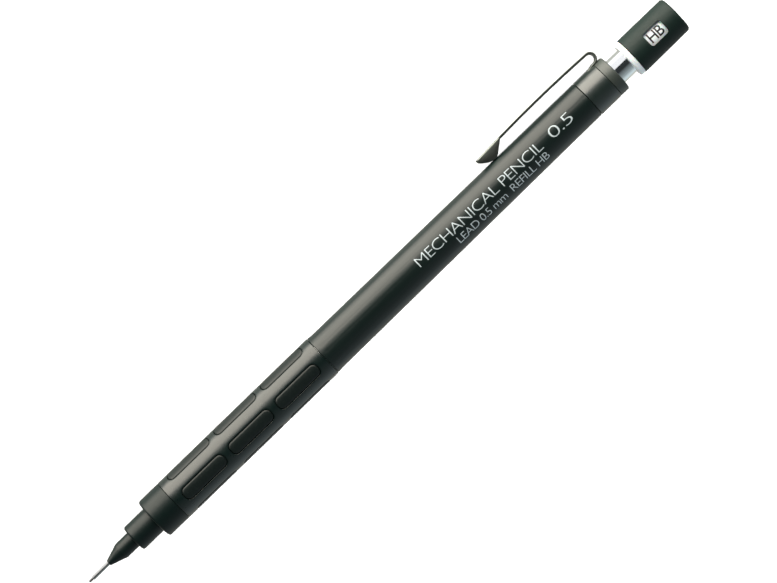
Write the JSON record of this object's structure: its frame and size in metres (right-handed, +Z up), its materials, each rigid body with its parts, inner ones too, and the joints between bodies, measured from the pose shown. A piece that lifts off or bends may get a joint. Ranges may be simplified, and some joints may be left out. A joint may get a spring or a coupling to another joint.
{
  "type": "mechanical pencil",
  "caption": "Drafting pencil for 0.5 mm lead: stepped nose, slotted metal grip with rubber pads, tapered barrel, sprung clip, push cap with a grade window.",
  "frame": {"origin": "on the table under the middle of the pencil's box, as it lies on its grip and clip", "axes": "+X along the pencil from the lead's tip to the cap, +Z up; the clip is on the +Y side, below the axis"},
  "size_m": [0.1488, 0.0108, 0.0085],
  "materials": {
    "nose_paint": "satin dark grey-green paint",
    "pipe_steel": "bright drawn steel",
    "grip_paint": "semi-gloss black paint with a warm grey cast",
    "pad_rubber": "matte dark rubber",
    "barrel_plastic": "semi-gloss black",
    "band_paint": "semi-gloss gunmetal paint",
    "clip_steel": "gunmetal spring steel",
    "bush_plastic": "semi-gloss black",
    "chrome": "polished",
    "white_plastic": "smooth white",
    "cap_plastic": "satin dark green-grey",
    "core_metal": "turned",
    "brass": "turned",
    "spring_steel": "drawn wire",
    "tube_plastic": "milky translucent",
    "lead_graphite": "grey-black with a slight sheen",
    "eraser_rubber": "matte white",
    "seal_rubber": "matte"
  },
  "bodies": {
    "barrel": {"barrel": "barrel_plastic", "grip_core": "core_metal", "grip_shell": "grip_paint", "grip_rubber": "pad_rubber", "chuck_sleeve": "brass", "chuck_spring": "spring_steel", "clip_ring": "band_paint", "clip_root": "clip_steel", "end_bush": "bush_plastic"},
    "push": {"chuck_stem": "brass", "chuck_connector": "brass", "lead_tube": "tube_plastic", "spare_leads": "lead_graphite", "pusher_tube": "chrome", "eraser": "eraser_rubber"},
    "drum": {"grade_drum": "white_plastic"},
    "cap": {"cap_shell": "cap_plastic"},
    "lead": {"lead": "lead_graphite"},
    "clutch_ring": {"clutch_ring": "brass"},
    "jaw_1": {"chuck_jaw_1": "brass"},
    "jaw_2": {"chuck_jaw_2": "brass"},
    "jaw_3": {"chuck_jaw_3": "brass"},
    "clip": {"clip_arm": "clip_steel"},
    "nose_seal": {"lead_retainer": "seal_rubber"},
    "nose": {"nose_cone": "nose_paint", "guide_pipe": "pipe_steel"}
  },
  "joints": [
    {"name": "push", "type": "slide", "parent": "barrel", "child": "push", "axis": [-1, 0, 0], "range_m": [0, 0.003], "stiffness_N_per_m": 400, "springref_m": -0.004, "deforming": ["chuck_spring"]},
    {"name": "cap_pull", "type": "slide", "parent": "push", "child": "drum", "axis": [1, 0, 0], "range_m": [0, 0.016]},
    {"name": "cap_turn", "type": "hinge", "parent": "drum", "child": "cap", "pos_m": [0.069, -0.00114, 0.00425], "axis": [1, 0, 0], "continuous": true},
    {"name": "lead_feed", "type": "slide", "parent": "barrel", "child": "lead", "axis": [-1, 0, 0], "range_m": [0, 0.0006]},
    {"name": "ring_slide", "type": "slide", "parent": "barrel", "child": "clutch_ring", "axis": [-1, 0, 0], "range_m": [0, 0.0006]},
    {"name": "jaw_1_open", "type": "hinge", "parent": "push", "child": "jaw_1", "pos_m": [-0.04953, -0.0002, 0.00378], "axis": [0, -0.4444, -0.8958], "range_deg": [0, 1.5]},
    {"name": "jaw_2_open", "type": "hinge", "parent": "push", "child": "jaw_2", "pos_m": [-0.04953, -0.0012, 0.0053], "axis": [0, 0.998, 0.0631], "range_deg": [0, 1.5]},
    {"name": "jaw_3_open", "type": "hinge", "parent": "push", "child": "jaw_3", "pos_m": [-0.04953, -0.00201, 0.00367], "axis": [0, -0.5536, 0.8328], "range_deg": [0, 1.5]},
    {"name": "clip_flex", "type": "hinge", "parent": "barrel", "child": "clip", "pos_m": [0.05845, 0.00334, 0.00203], "axis": [0, -0.4444, -0.8958], "range_deg": [0, 4], "stiffness_Nm_per_rad": 0.65},
    {"name": "nose_travel", "type": "slide", "parent": "barrel", "child": "nose_seal", "axis": [-1, 0, 0], "range_m": [0, 0.0057]},
    {"name": "nose_turn", "type": "hinge", "parent": "nose_seal", "child": "nose", "pos_m": [-0.0584, -0.00114, 0.00425], "axis": [-1, 0, 0], "range_deg": [0, 2736]}
  ],
  "couplings": [
    {"joint": "lead_feed", "follows": "push", "ratio": 0.2},
    {"joint": "ring_slide", "follows": "push", "ratio": 0.2},
    {"joint": "jaw_1_open", "follows": "push", "rad_per_m": 8.7},
    {"joint": "jaw_2_open", "follows": "push", "rad_per_m": 8.7},
    {"joint": "jaw_3_open", "follows": "push", "rad_per_m": 8.7},
    {"joint": "nose_turn", "follows": "nose_travel", "rad_per_m": 8377.5}
  ]
}
